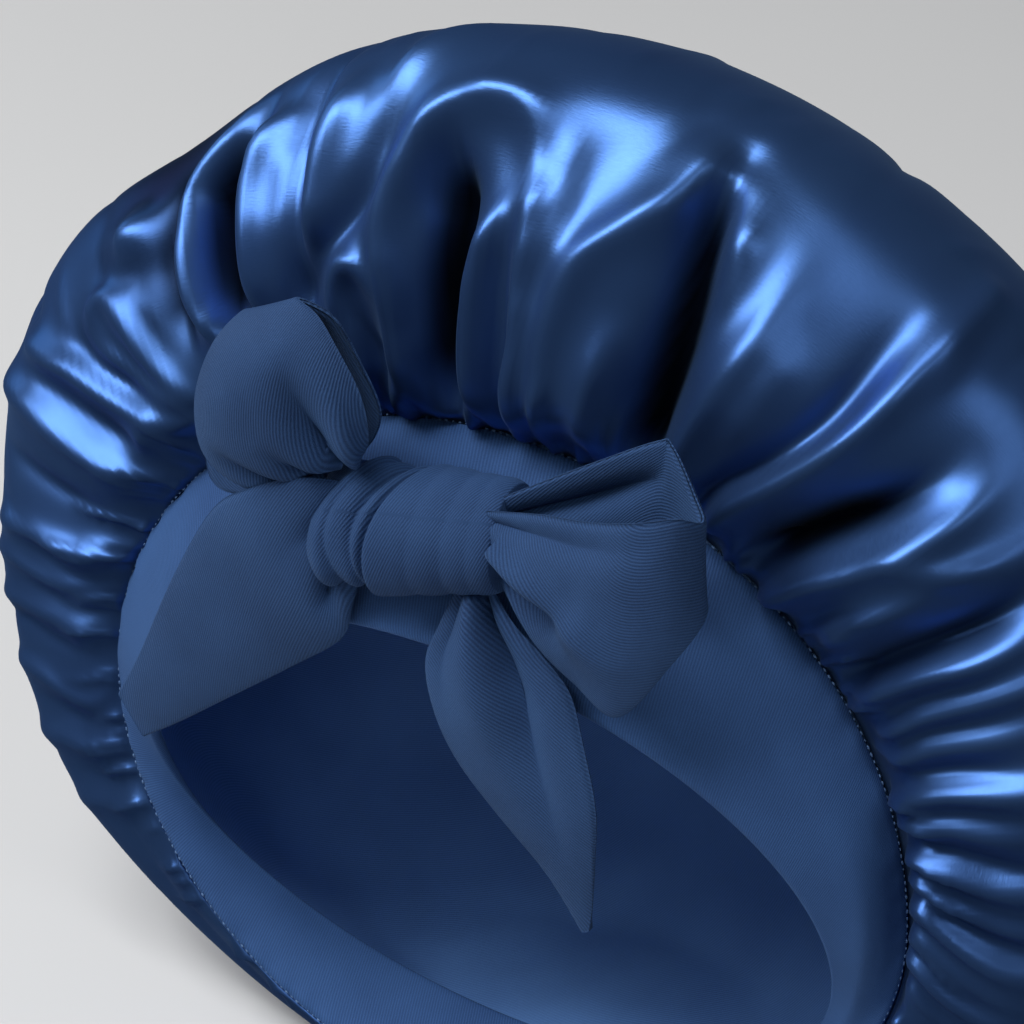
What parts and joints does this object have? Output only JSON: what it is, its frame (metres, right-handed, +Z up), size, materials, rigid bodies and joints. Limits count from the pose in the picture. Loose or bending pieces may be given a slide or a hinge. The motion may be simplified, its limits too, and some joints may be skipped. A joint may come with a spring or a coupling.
{
  "type": "sleep bonnet",
  "caption": "Large satin sleep bonnet lying with its face opening forward: a gathered crown, a wide soft band, a plain lining and a tied bow.",
  "frame": {"origin": "middle of the bounding box's footprint, on the surface that the bonnet lies on", "axes": "+Z up, the face opening and the bow look along -Y, +X is to the right as seen from the front"},
  "size_m": [0.3218, 0.1697, 0.2673],
  "materials": {
    "crown_satin": "glossy navy satin, smooth side out, gathered into soft folds",
    "band_twill": "matte blue peach-skin twill with fine diagonal ribs",
    "lining_cloth": "smooth matte blue knit-like lining cloth"
  },
  "bodies": {
    "root": {"crown": "crown_satin", "lining": "lining_cloth", "band": "band_twill", "bow_knot": "band_twill", "bow_loop_left": "band_twill", "bow_loop_right": "band_twill", "tie_tail_left": "band_twill", "tie_tail_right": "band_twill"}
  },
  "joints": []
}
